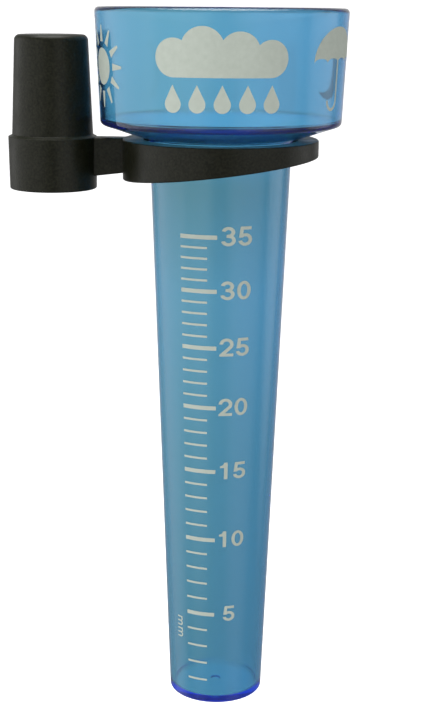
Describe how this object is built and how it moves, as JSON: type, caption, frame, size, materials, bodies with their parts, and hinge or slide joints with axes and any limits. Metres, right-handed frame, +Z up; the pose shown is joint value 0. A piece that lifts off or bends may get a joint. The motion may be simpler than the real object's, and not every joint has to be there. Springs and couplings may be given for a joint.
{
  "type": "manual rain gauge",
  "caption": "Clear tapered measuring vessel with a wide cup and printed millimetre scale, hanging in the ring of a black holder that caps a round post.",
  "frame": {"origin": "centre of the post seat, the flat ceiling inside the holder's socket that rests on the top of the post", "axes": "+Z up, +X from the post towards the vessel, so that the scale is read from the -Y side"},
  "size_m": [0.1184, 0.087, 0.2513],
  "materials": {
    "clear_blue_plastic": "transparent blue injection-moulded plastic, polished, a little darker where it is thick",
    "black_plastic": "satin black moulded plastic with a fine grain",
    "scale_ink": "pale grey screen-print ink, a few hundredths of a millimetre thick"
  },
  "bodies": {
    "holder": {"post_holder": "black_plastic"},
    "vessel": {"graduated_vessel": "clear_blue_plastic"}
  },
  "joints": [
    {"name": "vessel_lift", "type": "slide", "parent": "holder", "child": "vessel", "axis": [0, 0, 1], "range_m": [0, 0.21]}
  ]
}
